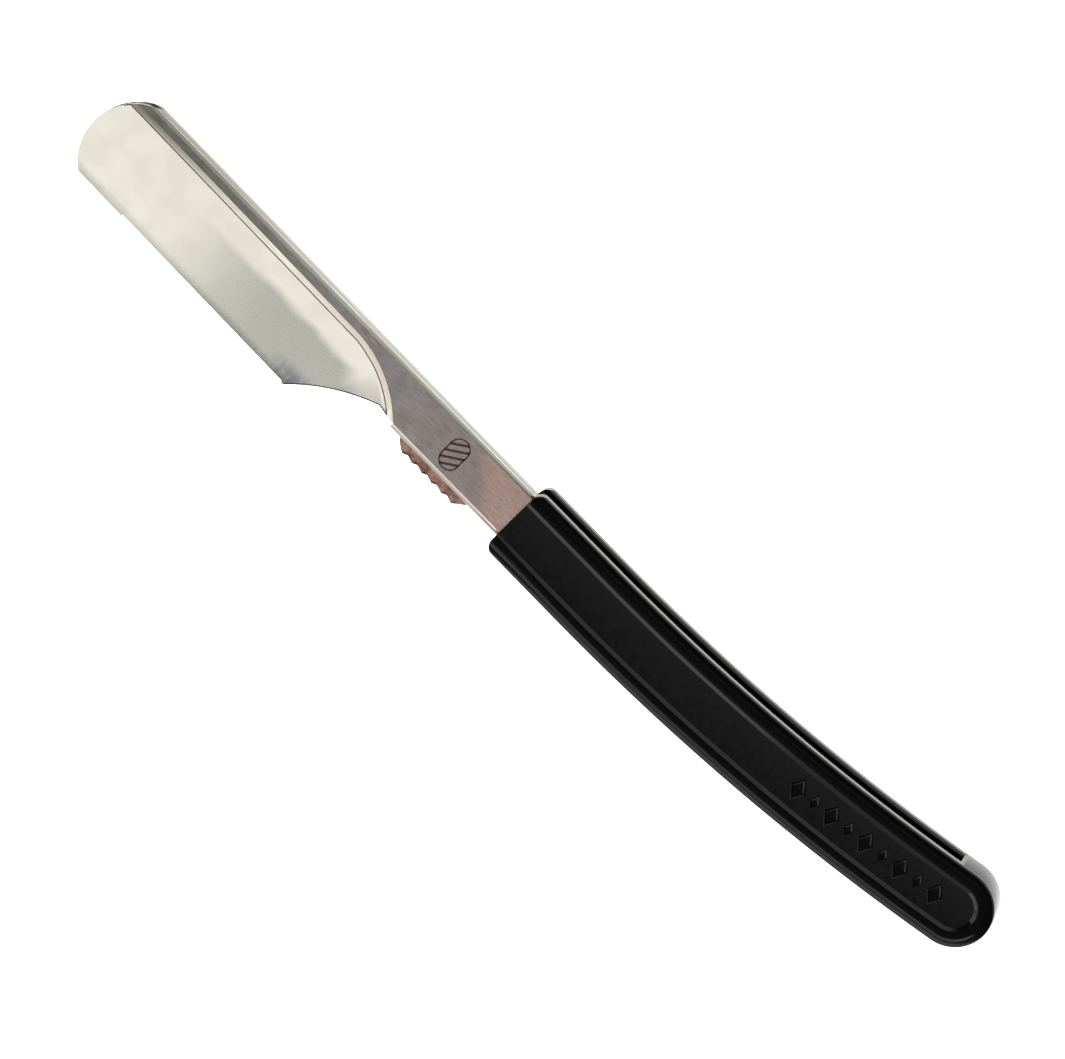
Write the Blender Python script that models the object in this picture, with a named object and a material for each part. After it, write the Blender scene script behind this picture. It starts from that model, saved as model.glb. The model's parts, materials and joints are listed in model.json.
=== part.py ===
"""Straight razor for half blades, opened in line and lying on its side.

The handle is one black moulding, two walls joined at the far end. A folded steel cover turns on a
snap-in pin between the walls and closes over a flat steel carrier, which holds the half blade.
+X runs from the nose of the blade cover to the far end of the handle, +Y towards the folded spine
and +Z up out of the broad side. The origin is below the middle of the object's box. Every piece is
drawn about the pivot, so its own origin lies on the axis that it turns on.
"""

import math

import bmesh
import bpy
from mathutils import Matrix, Vector

MM = 0.001

# Blade cover: lengths along the razor, from the nose back to the pivot
CHEEK_LENGTH = 68.85 * MM       # nose to the heel corner of the edge
HEEL_RUN = 17.9 * MM            # heel corner to the top of the heel curve
HEEL_TOP_RUN = 4.8 * MM         # top of the heel curve to the start of the tang
TANG_RUN = 37.0 * MM            # start of the tang to the pivot
TAIL_RUN = 4.6 * MM             # how far the tail passes the pivot

# Blade cover: distances from the pivot across the razor
SPINE_AT_PIVOT = 10.1 * MM
SPINE_RISE = 0.5 * MM           # the spine stands this much higher at the nose
TANG_BELOW = 2.85 * MM
RIDGE_AT_HEEL = 7.15 * MM       # upper line of the pressed step
RIDGE_RISE = 0.65 * MM
RIDGE_BEND = 28.0 * MM          # radius where the step turns down to the tang
EDGE_AT_HEEL = 13.5 * MM
EDGE_AT_NOSE = 12.7 * MM
HEEL_TOP_BELOW = 1.1 * MM
HEEL_BEND = 47.0 * MM
NOSE_RADIUS = 13.75 * MM
NOSE_BELOW = 2.3 * MM           # centre of the nose arc, below the pivot

# Blade cover: the sheet and its folds
SHEET = 0.6 * MM
TANG_THICKNESS = 3.6 * MM
CHEEK_THICKNESS = 3.0 * MM      # across both cheeks, below the step
STEP_WIDTH = 1.3 * MM
SPINE_FOLD = 1.3 * MM           # outer radius of the two bends along the spine
LIP_FOLD = 1.4 * MM             # outer radius of the lips under the tang
SLIT_CLEARANCE = 0.2 * MM       # between each lip and the grip
FOLD_SETBACK = 2.5 * MM         # the spine and the lips end this far before the pivot
RECESS_DEPTH = 0.4 * MM         # cut-back along the cheeks that bares the blade
RECESS_LENGTH = 49.0 * MM
RECESS_SETBACK = 0.9 * MM       # from the heel corner

# Half blade and its seat
BLADE_LENGTH = 43.0 * MM
BLADE_EDGE_LENGTH = 37.4 * MM
BLADE_WIDTH = 11.0 * MM
BLADE_THICKNESS = 0.1 * MM
BLADE_TAB_WIDTH = 6.2 * MM      # the narrow ends, from the back edge
BLADE_LIFT = 0.05 * MM          # clear height over the carrier
POST_RADIUS = 1.1 * MM
POST_HEIGHT = 0.4 * MM          # above the middle of the blade
POST_SPACING = 24.0 * MM
POST_CLEARANCE = 0.12 * MM

# Carrier and thumb grip
CARRIER_THICKNESS = 0.4 * MM
CARRIER_INSET = 1.0 * MM        # inside the outline of the cheeks
CARRIER_NECK_TOP = 5.6 * MM     # above the pivot
CARRIER_BLADE_MARGIN = 8.6 * MM # its lower edge stays this far behind the cutting edge
STACK_CLEARANCE = 0.05 * MM     # between flat pieces that lie on each other
LIP_CLEARANCE = 0.45 * MM       # carrier edge above the tang's lower face
GRIP_THICKNESS = 1.2 * MM
GRIP_SETBACK = 2.9 * MM         # start of the tang to the grip
GRIP_DROP = 2.5 * MM            # tooth tips below the tang
GRIP_TEETH = 6
TOOTH_PITCH = 3.0 * MM
TOOTH_DEPTH = 0.6 * MM
GRIP_LAP = 3.6 * MM             # overlap with the carrier
GRIP_RAMP = 3.0 * MM            # sloped rear end of the grip
RIVET_RADIUS = 0.8 * MM
RIVET_SPACING = 14.0 * MM

# Pivot
PIN_RADIUS = 1.25 * MM
PIN_CLEARANCE = 0.15 * MM
PIN_SOCKET = 1.4 * MM           # depth of the blind sockets in the handle walls
PIN_END_PLAY = 0.15 * MM
WASHER_RADIUS = 3.2 * MM
WASHER_THICKNESS = 0.3 * MM
WASHER_PLAY = 0.1 * MM          # clear height on each side of a washer
SPACER_RADIUS = 2.1 * MM

# Handle
HANDLE_WIDTH = 17.9 * MM
HANDLE_WALL = 2.5 * MM
HANDLE_FRONT = 4.3 * MM         # front edge ahead of the pivot
HANDLE_RISE = 3.3 * MM          # centre line above the pivot
HANDLE_STRAIGHT = 18.5 * MM     # straight stretch behind the pivot
HANDLE_BEND = 540.0 * MM        # radius of the long curve
HANDLE_END_MARGIN = 1.5 * MM    # far end past the nose of the closed cover
HANDLE_EDGE_ROUND = 0.5 * MM
HANDLE_CORNER = 2.5 * MM
CLOSED_ANGLE = math.radians(178.5)
SOLID_END = 13.2 * MM           # solid far end of the handle
NOSE_CLEARANCE = 0.8 * MM       # between the closed cover and the solid far end
HANDLE_RIM = 3.1 * MM           # flat rim round the sunk panels
PANEL_SLOPE = 0.9 * MM          # width of the sloped wall of a panel
PANEL_DEPTH = 0.4 * MM

# Worked out from the sizes above
HEEL_X = -(TANG_RUN + HEEL_TOP_RUN + HEEL_RUN)
HEEL_TOP_X = -(TANG_RUN + HEEL_TOP_RUN)
ARM_REACH = CHEEK_LENGTH - HEEL_X
NOSE_X = NOSE_RADIUS - ARM_REACH
HALF_TANG = TANG_THICKNESS / 2
LIP_ANGLE = math.acos((GRIP_THICKNESS / 2 + SLIT_CLEARANCE - HALF_TANG + LIP_FOLD) / (LIP_FOLD - SHEET))
HALF_WIDTH = HANDLE_WIDTH / 2
HANDLE_SLOT = TANG_THICKNESS + 2 * (WASHER_THICKNESS + 2 * WASHER_PLAY)
HANDLE_THICKNESS = HANDLE_SLOT + 2 * HANDLE_WALL
CARRIER_TOP = -BLADE_THICKNESS / 2 - BLADE_LIFT
CARRIER_BOTTOM = CARRIER_TOP - CARRIER_THICKNESS
EDGE_THICKNESS = 2 * (SHEET + STACK_CLEARANCE - CARRIER_BOTTOM)   # so that the carrier swings out
HOLE_RADIUS = PIN_RADIUS + PIN_CLEARANCE
OVERCUT = 1.0 * MM              # how far a cutter passes the faces that it cuts
EDGE_STEPS = 3                  # facets round each long edge of the handle

STEEL = ("satin_stainless_steel", (0.62, 0.60, 0.57), 0.30, 1.0)
DARK_STEEL = ("blade_steel", (0.45, 0.46, 0.48), 0.22, 1.0)
PIN_STEEL = ("turned_steel", (0.55, 0.55, 0.55), 0.35, 1.0)
BRASS = ("brass_shim", (0.72, 0.53, 0.24), 0.35, 1.0)
BLACK_ABS = ("black_abs", (0.012, 0.012, 0.013), 0.25, 0.0)


# ---------------------------------------------------------------- shapes

def arc(centre, radius, start, end, steps):
    """Points on an arc, from the angle start to the angle end, both included."""
    points = []
    for i in range(steps + 1):
        angle = start + (end - start) * i / steps
        points.append((centre[0] + radius * math.cos(angle), centre[1] + radius * math.sin(angle)))
    return points


def circle(radius, steps, centre=(0.0, 0.0)):
    return arc(centre, radius, 0.0, math.tau * (1 - 1 / steps), steps - 1)


def bowed(start, end, radius, steps, inset=0.0):
    """Points from start to end on an arc that bows to the left, moved outwards by inset."""
    a = Vector(start)
    b = Vector(end)
    half = (b - a) / 2
    across = Vector((half.y, -half.x)).normalized()
    centre = a + half + across * math.sqrt(radius ** 2 - half.length ** 2)
    first = math.atan2(a.y - centre.y, a.x - centre.x)
    last = math.atan2(b.y - centre.y, b.x - centre.x)
    return arc(centre, radius + inset, first, last, steps)


def stacked(layers):
    """A closed body through matching counter-clockwise outlines, each with its height, going up."""
    bm = bmesh.new()
    rings = [[bm.verts.new((x, y, z)) for x, y in outline] for outline, z in layers]
    bm.faces.new(rings[0][::-1])
    bm.faces.new(rings[-1])
    for low, high in zip(rings, rings[1:]):
        for i in range(len(low)):
            j = (i + 1) % len(low)
            bm.faces.new((low[i], low[j], high[j], high[i]))
    return bm


def slab(outline, bottom, top):
    """A flat plate with a counter-clockwise outline, between two heights."""
    return stacked([(outline, bottom), (outline, top)])


def disc(radius, bottom, top, steps=24, centre=(0.0, 0.0)):
    return slab(circle(radius, steps, centre), bottom, top)


def add_piece(name, bm, finish=None):
    """Makes the object of a finished piece, or of a cutter where there is no finish."""
    mesh = bpy.data.meshes.new(name)
    bm.to_mesh(mesh)
    bm.free()
    obj = bpy.data.objects.new(name, mesh)
    bpy.context.scene.collection.objects.link(obj)
    obj.parent = razor
    if finish is None:
        obj.hide_render = True
        obj.display_type = "WIRE"
    else:
        mesh.materials.append(material(*finish))
        mesh.shade_smooth()
        mesh.set_sharp_from_angle(angle=math.radians(30))
    return obj


def material(name, colour, roughness, metallic):
    found = bpy.data.materials.get(name)
    if found:
        return found
    made = bpy.data.materials.new(name)
    made.use_nodes = True
    shader = made.node_tree.nodes["Principled BSDF"]
    shader.inputs["Base Color"].default_value = (*colour, 1.0)
    shader.inputs["Roughness"].default_value = roughness
    shader.inputs["Metallic"].default_value = metallic
    return made


def cut(obj, cutter):
    change = obj.modifiers.new(cutter.name, "BOOLEAN")
    change.operation = "DIFFERENCE"
    change.solver = "EXACT"
    change.object = cutter


# ---------------------------------------------------------------- lines of the blade cover

def spine_y(x):
    """Outer line of the folded spine."""
    return SPINE_AT_PIVOT + SPINE_RISE * -x / ARM_REACH


def edge_y(x):
    """Line that the cutting edge and the shoulders of the cheeks lie on."""
    slope = (EDGE_AT_HEEL - EDGE_AT_NOSE) / CHEEK_LENGTH
    return -EDGE_AT_HEEL + slope * (HEEL_X - x)


def cheek_z(point):
    """Height of the outer face of the upper cheek, which closes in on the blade towards the edge."""
    depth = RIDGE_AT_HEEL - STEP_WIDTH + EDGE_AT_HEEL
    rise = (CHEEK_THICKNESS - EDGE_THICKNESS) / 2 / depth
    return EDGE_THICKNESS / 2 + rise * (point[1] - edge_y(point[0]))


def nose_x(y):
    """Nose arc of the cheeks at one height."""
    return NOSE_X - math.sqrt(NOSE_RADIUS ** 2 - (y + NOSE_BELOW) ** 2)


def nose_arc(start_y, end_y, steps, inset=0.0):
    """Points down the nose arc, from one height to another."""
    radius = NOSE_RADIUS - inset
    first = math.pi - math.asin((start_y + NOSE_BELOW) / radius)
    last = math.pi - math.asin((end_y + NOSE_BELOW) / radius)
    return arc((NOSE_X, -NOSE_BELOW), radius, first, last, steps)


def heel_curve(steps, inset=0.0):
    """Concave end of the cheeks, from the heel corner up to the tang."""
    start = (HEEL_X, -EDGE_AT_HEEL)
    end = (HEEL_TOP_X, -HEEL_TOP_BELOW)
    return bowed(start, end, HEEL_BEND, steps, inset)


def step_line(shift, steps):
    """Line of the pressed step, from the nose to the start of the tang, moved down by shift."""
    bend_x = -(TANG_RUN + math.sqrt(RIDGE_BEND ** 2 - (RIDGE_BEND - ridge_drop()) ** 2))
    first_y = RIDGE_AT_HEEL + RIDGE_RISE - shift
    radius = RIDGE_BEND - shift
    centre = (bend_x, RIDGE_AT_HEEL - RIDGE_BEND)
    last = math.asin((-lip_line() - centre[1]) / radius)
    return [(nose_x(first_y), first_y)] + arc(centre, radius, math.pi / 2, last, steps)


def ridge_drop():
    return RIDGE_AT_HEEL + lip_line()


def lip_line():
    """Depth below the pivot where the flat of the tang turns into its lips."""
    return TANG_BELOW - LIP_FOLD * math.sin(LIP_ANGLE)


# ---------------------------------------------------------------- blade cover

def blade_cover():
    """The folded sheet: one side is drawn, bent over the spine, mirrored and given its wall."""
    bm = bmesh.new()
    ridge = step_line(0.0, 10)
    crease = step_line(STEP_WIDTH, 10)

    def vert(point, z):
        return bm.verts.new((point[0], point[1], z))

    ridge_verts = [vert(p, HALF_TANG) for p in ridge]
    crease_verts = [vert(p, cheek_z(p)) for p in crease]
    for i in range(len(ridge) - 1):
        bm.faces.new((ridge_verts[i], crease_verts[i], crease_verts[i + 1], ridge_verts[i + 1]))

    # Cheek: from the crease down the nose, along the shoulder and the recess and up the heel
    corner_y = edge_y(-ARM_REACH + NOSE_RADIUS / 3)
    nose = nose_arc(crease[0][1], corner_y, 14)[1:]
    recess_end = HEEL_X - RECESS_SETBACK
    recess_start = recess_end - RECESS_LENGTH
    recess = [
        (recess_start - RECESS_DEPTH, edge_y(recess_start)),
        (recess_start, edge_y(recess_start) + RECESS_DEPTH),
        (recess_end, edge_y(recess_end) + RECESS_DEPTH),
        (recess_end + RECESS_DEPTH, edge_y(recess_end)),
    ]
    heel = heel_curve(8)
    cheek = [vert(p, cheek_z(p)) for p in nose + recess + heel]
    bm.faces.new(cheek + crease_verts[:0:-1] + crease_verts[:1])

    # Strip and tang, with the tail round the pivot
    spine_nose_y = spine_y(-ARM_REACH) - SPINE_FOLD
    strip_nose = nose_arc(ridge[0][1], spine_nose_y, 2)[1:]
    tail_top = SPINE_AT_PIVOT - SPINE_FOLD
    tail_centre_y = (tail_top - lip_line()) / 2
    tail = arc((TAIL_RUN - (tail_top + lip_line()) / 2, tail_centre_y),
               (tail_top + lip_line()) / 2, math.pi / 2, -math.pi / 2, 12)
    fold_end = (-FOLD_SETBACK, spine_y(-FOLD_SETBACK) - SPINE_FOLD)
    spine_verts = [vert(strip_nose[-1], HALF_TANG), vert(fold_end, HALF_TANG)]
    lip_verts = [vert((-FOLD_SETBACK, -lip_line()), HALF_TANG)]
    tail_verts = [vert(p, HALF_TANG) for p in tail]
    strip = [vert(p, HALF_TANG) for p in strip_nose[:-1]]
    bm.faces.new(strip[::-1] + ridge_verts + lip_verts + tail_verts[::-1] + spine_verts[::-1])

    def bend(verts, axis_point, axis, angle, steps):
        edges = [e for e in bm.edges if e.verts[0] in verts and e.verts[1] in verts]
        spun = bmesh.ops.spin(bm, geom=verts + edges, cent=axis_point, axis=axis, angle=angle,
                              steps=steps)
        return [item for item in spun["geom_last"] if isinstance(item, bmesh.types.BMVert)]

    # Spine: a quarter bend, then straight down to the middle plane
    along = (spine_verts[1].co - spine_verts[0].co).normalized()
    centre = spine_verts[0].co - Vector((0.0, 0.0, SPINE_FOLD))
    last = bend(spine_verts, centre, along, math.radians(-90), 5)
    edges = [e for e in bm.edges if e.verts[0] in last and e.verts[1] in last]
    dropped = bmesh.ops.extrude_edge_only(bm, edges=edges)
    lowest = [item for item in dropped["geom"] if isinstance(item, bmesh.types.BMVert)]
    for v in lowest:
        v.co.z = 0.0
    for v in bm.verts:
        if v.co.x < NOSE_X and v.co.y > spine_nose_y:
            v.co.x = nose_x(v.co.y)

    # Lips under the tang
    start = [ridge_verts[-1], lip_verts[0]]
    centre = start[0].co - Vector((0.0, 0.0, LIP_FOLD))
    bend(start, centre, Vector((1.0, 0.0, 0.0)), LIP_ANGLE, 4)

    half = bm.verts[:] + bm.edges[:] + bm.faces[:]
    bmesh.ops.mirror(bm, geom=half, matrix=Matrix(), merge_dist=0.001 * MM, axis="Z")
    bmesh.ops.recalc_face_normals(bm, faces=bm.faces)
    highest = max(bm.faces, key=lambda face: face.calc_center_median().z)
    if highest.normal.z < 0.0:
        bmesh.ops.reverse_faces(bm, faces=bm.faces)
    return bm


def add_blade_cover():
    cover = add_piece("blade_cover", blade_cover(), STEEL)
    wall = cover.modifiers.new("sheet", "SOLIDIFY")
    wall.thickness = SHEET
    wall.offset = -1.0
    wall.use_even_offset = True
    hole = add_piece("cut_cover_eye", disc(HOLE_RADIUS, -HALF_TANG - OVERCUT, HALF_TANG + OVERCUT))
    cut(cover, hole)
    return cover


# ---------------------------------------------------------------- carrier, grip and blade

def add_blade_carrier():
    """Flat stamped plate that turns on the pin inside the cover and seats the half blade."""
    neck_bottom = LIP_CLEARANCE - TANG_BELOW
    neck_width = CARRIER_NECK_TOP - neck_bottom
    tail = arc((0.0, neck_bottom + neck_width / 2), neck_width / 2, -math.pi / 2, math.pi / 2, 12)
    corner_y = edge_y(-ARM_REACH) + CARRIER_BLADE_MARGIN
    nose = nose_arc(CARRIER_NECK_TOP, corner_y, 10, CARRIER_INSET)
    heel = [p for p in heel_curve(12, CARRIER_INSET) if p[1] > edge_y(p[0]) + CARRIER_BLADE_MARGIN]
    foot_x = heel[0][0] - CARRIER_INSET
    foot = [(foot_x, edge_y(foot_x) + CARRIER_BLADE_MARGIN)]
    shoulder_y = CARRIER_INSET - HEEL_TOP_BELOW
    shoulder = [(-TANG_RUN - CARRIER_INSET, shoulder_y), (-TANG_RUN + CARRIER_INSET, neck_bottom)]
    plate = slab(tail + nose + foot + heel + shoulder, CARRIER_BOTTOM, CARRIER_TOP)
    carrier = add_piece("blade_carrier", plate, STEEL)
    cut(carrier, pin_hole("cut_carrier_eye", HALF_TANG))
    for place in POST_NAMES:
        hole = disc(POST_RADIUS + POST_CLEARANCE, -HALF_TANG, HALF_TANG, 20, post_centre(place))
        cut(carrier, add_piece("cut_post_" + place, hole))
    for place in RIVET_NAMES:
        cut(carrier, rivet_holes[place])


def post_centre(place):
    side = -1 if place == "front" else 1
    return on_edge(side * POST_SPACING / 2, BLADE_WIDTH)


def on_edge(along, up):
    """A point by its distance along the cutting edge from the middle of the blade, and above it."""
    middle = HEEL_X - RECESS_SETBACK - RECESS_LENGTH / 2
    slope = math.atan2(edge_y(middle + MM) - edge_y(middle), MM)
    x = middle + along * math.cos(slope) - up * math.sin(slope)
    y = edge_y(middle) + along * math.sin(slope) + up * math.cos(slope)
    return (x, y)


def add_half_blade():
    """Half of a double-edge blade: snapped back edge with its notches, narrower ends."""
    half = BLADE_LENGTH / 2
    half_edge = BLADE_EDGE_LENGTH / 2
    tab = BLADE_WIDTH - BLADE_TAB_WIDTH
    notch = POST_RADIUS + POST_CLEARANCE
    outline = [(-half_edge, 0.0), (half_edge, 0.0), (half_edge, tab), (half, tab), (half, BLADE_WIDTH)]
    for side in (1, -1):
        outline += arc((side * POST_SPACING / 2, BLADE_WIDTH), notch, 0.0, -math.pi, 10)
    outline += [(-half, BLADE_WIDTH), (-half, tab), (-half_edge, tab)]
    placed = [on_edge(u, v) for u, v in outline]
    add_piece("half_blade", slab(placed, -BLADE_THICKNESS / 2, BLADE_THICKNESS / 2), DARK_STEEL)


def add_blade_posts():
    for place in POST_NAMES:
        post = disc(POST_RADIUS, CARRIER_BOTTOM, POST_HEIGHT, 20, post_centre(place))
        add_piece("blade_post_" + place, post, PIN_STEEL)


def grip_start():
    return GRIP_SETBACK - TANG_RUN


def add_grip_bar():
    """Saw-toothed thumb grip under the tang, half-lapped over the carrier."""
    start = grip_start()
    tip_y = -TANG_BELOW - GRIP_DROP
    lap_top = LIP_CLEARANCE - TANG_BELOW + GRIP_LAP
    end = start + TOOTH_PITCH * GRIP_TEETH + GRIP_RAMP
    outline = [(start, lap_top), (start, -TANG_BELOW), (start + TOOTH_PITCH * 0.4, tip_y + TOOTH_DEPTH * 2)]
    for i in range(GRIP_TEETH):
        tip_x = start + TOOTH_PITCH * (i + 1)
        outline.append((tip_x, tip_y))
        if i < GRIP_TEETH - 1:
            outline.append((tip_x + TOOTH_PITCH * 0.4, tip_y + TOOTH_DEPTH))
    outline += [(end, -TANG_BELOW), (end, lap_top)]
    grip = add_piece("grip_bar", slab(outline, -GRIP_THICKNESS / 2, GRIP_THICKNESS / 2), STEEL)
    lap_y = LIP_CLEARANCE / 3 - TANG_BELOW
    lap = [
        (start - OVERCUT, lap_y), (end + OVERCUT, lap_y),
        (end + OVERCUT, lap_top + OVERCUT), (start - OVERCUT, lap_top + OVERCUT),
    ]
    cutter = slab(lap, -GRIP_THICKNESS, CARRIER_TOP + STACK_CLEARANCE)
    cut(grip, add_piece("cut_grip_lap", cutter))
    for place in RIVET_NAMES:
        cut(grip, rivet_holes[place])


def rivet_centre(place):
    side = -1 if place == "front" else 1
    middle = grip_start() + (TOOTH_PITCH * GRIP_TEETH + GRIP_RAMP) / 2
    return (middle + side * RIVET_SPACING / 2, LIP_CLEARANCE - TANG_BELOW + GRIP_LAP / 2)


def add_grip_rivets():
    for place in RIVET_NAMES:
        shank = disc(RIVET_RADIUS, CARRIER_BOTTOM, GRIP_THICKNESS / 2, 20, rivet_centre(place))
        add_piece("grip_rivet_" + place, shank, PIN_STEEL)


def rivet_hole(place):
    hole = disc(RIVET_RADIUS + POST_CLEARANCE, -HALF_TANG, HALF_TANG, 20, rivet_centre(place))
    return add_piece("cut_rivet_" + place, hole)


# ---------------------------------------------------------------- pivot

def pin_hole(name, half_height):
    return add_piece(name, disc(HOLE_RADIUS, -half_height, half_height))


def add_ring(name, radius, bottom, top, finish):
    ring = add_piece(name, disc(radius, bottom, top, 32), finish)
    cut(ring, pin_hole("cut_" + name, HALF_TANG + HANDLE_SLOT))


def add_pivot():
    half_pin = HANDLE_SLOT / 2 + PIN_SOCKET - PIN_END_PLAY
    add_piece("pivot_pin", disc(PIN_RADIUS, -half_pin, half_pin, 32), PIN_STEEL)
    washer_low = HALF_TANG + WASHER_PLAY
    washer_high = washer_low + WASHER_THICKNESS
    add_ring("pivot_washer_upper", WASHER_RADIUS, washer_low, washer_high, BRASS)
    add_ring("pivot_washer_lower", WASHER_RADIUS, -washer_high, -washer_low, BRASS)
    inside = HALF_TANG - SHEET - STACK_CLEARANCE
    add_ring("carrier_spacer_upper", SPACER_RADIUS, CARRIER_TOP + STACK_CLEARANCE, inside, PIN_STEEL)
    add_ring("carrier_spacer_lower", SPACER_RADIUS, -inside, CARRIER_BOTTOM - STACK_CLEARANCE, PIN_STEEL)


# ---------------------------------------------------------------- handle

def end_angle():
    """Angle that the handle's centre line turns through, up to the middle of its round end."""
    run = ARM_REACH + HANDLE_END_MARGIN - HALF_WIDTH - HANDLE_STRAIGHT
    return math.asin(run / HANDLE_BEND)


def handle_outline(half, front, corner, steps=14):
    """Outline at a distance from the curved centre line, concentric with the round end."""
    turn = end_angle()
    level = -math.pi / 2
    bend_centre = (HANDLE_STRAIGHT, HANDLE_RISE + HANDLE_BEND)
    end_centre = (
        HANDLE_STRAIGHT + HANDLE_BEND * math.sin(turn),
        HANDLE_RISE + HANDLE_BEND * (1 - math.cos(turn)),
    )
    low_corner = (front + corner, HANDLE_RISE - half + corner)
    high_corner = (front + corner, HANDLE_RISE + half - corner)
    return (
        arc(high_corner, corner, math.pi / 2, math.pi, 4)
        + arc(low_corner, corner, math.pi, math.pi * 1.5, 4)
        + arc(bend_centre, HANDLE_BEND + half, level, level + turn, steps)
        + arc(end_centre, half, level + turn, level + turn + math.pi, 14)[1:-1]
        + arc(bend_centre, HANDLE_BEND - half, level + turn, level, steps)
    )


def closed(point):
    """Where a point of the cover stands once the cover is folded into the handle."""
    turned = Matrix.Rotation(CLOSED_ANGLE, 2) @ Vector(point)
    return (turned.x, turned.y)


def slot_outline():
    """Plan of the gap between the walls, with room for the nose in the solid far end."""
    end_x = ARM_REACH + HANDLE_END_MARGIN - SOLID_END
    front_x = -HANDLE_FRONT - OVERCUT
    beyond = HANDLE_BEND / 2
    centre = closed((NOSE_X, -NOSE_BELOW))
    radius = NOSE_RADIUS + NOSE_CLEARANCE
    roof_y = closed((-end_x, edge_y(-end_x)))[1] + NOSE_CLEARANCE
    nose = arc(centre, radius, 0.0, math.asin((roof_y - centre[1]) / radius), 8)
    right = [(centre[0] + radius, -beyond)] + nose + [(end_x, roof_y), (end_x, beyond)]
    return [(front_x, -beyond)] + right + [(front_x, beyond)]


def handle_body():
    """The bare moulding, with its long edges rounded."""
    layers = []
    for side in (-1, 1):
        for i in range(EDGE_STEPS + 1):
            turn = math.pi / 2 * (i if side > 0 else EDGE_STEPS - i) / EDGE_STEPS
            inset = HANDLE_EDGE_ROUND * (1 - math.cos(turn))
            height = HANDLE_THICKNESS / 2 - HANDLE_EDGE_ROUND * (1 - math.sin(turn))
            outline = handle_outline(HALF_WIDTH - inset, inset - HANDLE_FRONT, HANDLE_CORNER - inset)
            layers.append((outline, side * height))
    return stacked(layers)


def add_handle():
    """One moulding: two walls, a solid far end, a sunk panel on each side and blind sockets."""
    handle = add_piece("handle", handle_body(), BLACK_ABS)
    half_height = HANDLE_THICKNESS / 2
    slot = slab(slot_outline(), -HANDLE_SLOT / 2, HANDLE_SLOT / 2)
    cut(handle, add_piece("cut_slot", slot))

    floor = HALF_WIDTH - HANDLE_EDGE_ROUND - HANDLE_RIM - PANEL_SLOPE
    front = -HANDLE_FRONT - OVERCUT - floor
    floor_line = handle_outline(floor, front, floor / 2)
    above_line = handle_outline(floor + 2 * PANEL_SLOPE, front, floor / 2)
    floor_z = half_height - PANEL_DEPTH
    above_z = half_height + PANEL_DEPTH
    upper = stacked([(floor_line, floor_z), (above_line, above_z)])
    lower = stacked([(above_line, -above_z), (floor_line, -floor_z)])
    cut(handle, add_piece("cut_panel_upper", upper))
    cut(handle, add_piece("cut_panel_lower", lower))
    cut(handle, pin_hole("cut_sockets", HANDLE_SLOT / 2 + PIN_SOCKET))


# ---------------------------------------------------------------- assembly

POST_NAMES = ("front", "rear")
RIVET_NAMES = ("front", "rear")

for leftover in list(bpy.data.objects):
    bpy.data.objects.remove(leftover, do_unlink=True)

razor = bpy.data.objects.new("razor", None)
bpy.context.scene.collection.objects.link(razor)

rivet_holes = {place: rivet_hole(place) for place in RIVET_NAMES}
add_handle()
add_pivot()
add_blade_cover()
add_blade_carrier()
add_grip_bar()
add_grip_rivets()
add_blade_posts()
add_half_blade()

outer = [v.co for name in ("handle", "blade_cover") for v in bpy.data.objects[name].data.vertices]
low = Vector([min(co[axis] for co in outer) for axis in range(3)])
high = Vector([max(co[axis] for co in outer) for axis in range(3)])
razor.location = (-(low.x + high.x) / 2, -(low.y + high.y) / 2, -low.z)
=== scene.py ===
import json
import math

import bmesh
import bpy
from mathutils import Matrix, Vector


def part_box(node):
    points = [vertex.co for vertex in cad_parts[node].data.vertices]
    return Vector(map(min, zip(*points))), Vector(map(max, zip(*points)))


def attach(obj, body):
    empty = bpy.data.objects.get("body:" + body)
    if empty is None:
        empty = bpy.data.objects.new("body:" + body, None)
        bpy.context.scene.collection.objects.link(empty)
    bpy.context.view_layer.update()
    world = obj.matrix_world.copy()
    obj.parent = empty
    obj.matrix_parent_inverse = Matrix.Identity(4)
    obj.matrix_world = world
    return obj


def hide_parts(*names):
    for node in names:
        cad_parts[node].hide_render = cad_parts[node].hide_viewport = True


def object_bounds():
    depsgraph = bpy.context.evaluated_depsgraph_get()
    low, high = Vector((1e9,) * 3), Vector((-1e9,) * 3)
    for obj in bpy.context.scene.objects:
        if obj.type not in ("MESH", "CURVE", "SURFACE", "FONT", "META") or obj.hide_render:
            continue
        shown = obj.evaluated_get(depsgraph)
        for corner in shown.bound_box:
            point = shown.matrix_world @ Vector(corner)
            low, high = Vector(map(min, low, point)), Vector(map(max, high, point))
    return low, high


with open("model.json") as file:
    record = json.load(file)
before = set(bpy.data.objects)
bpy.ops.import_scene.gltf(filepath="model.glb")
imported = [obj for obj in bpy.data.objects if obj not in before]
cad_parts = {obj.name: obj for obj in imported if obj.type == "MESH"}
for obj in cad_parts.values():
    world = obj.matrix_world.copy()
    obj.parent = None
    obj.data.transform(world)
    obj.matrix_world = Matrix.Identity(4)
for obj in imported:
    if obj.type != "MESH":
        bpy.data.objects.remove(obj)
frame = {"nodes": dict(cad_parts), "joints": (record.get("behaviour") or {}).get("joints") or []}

cad_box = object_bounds()

# ---------------------------------------------------------------- camera
# A long lens looks down on the broad side, tilted towards the spine, and rolled so that the razor
# runs from the upper left, where the blade is, down to the right.

MM = 0.001
hinge = next(joint for joint in frame["joints"] if joint["name"] == "handle_pivot")
PIVOT = Vector(hinge["pos_m"])
CAMERA_TILT = math.radians(18)
CAMERA_ROLL = math.radians(45.6)
CAMERA_DISTANCE = 1.5

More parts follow.
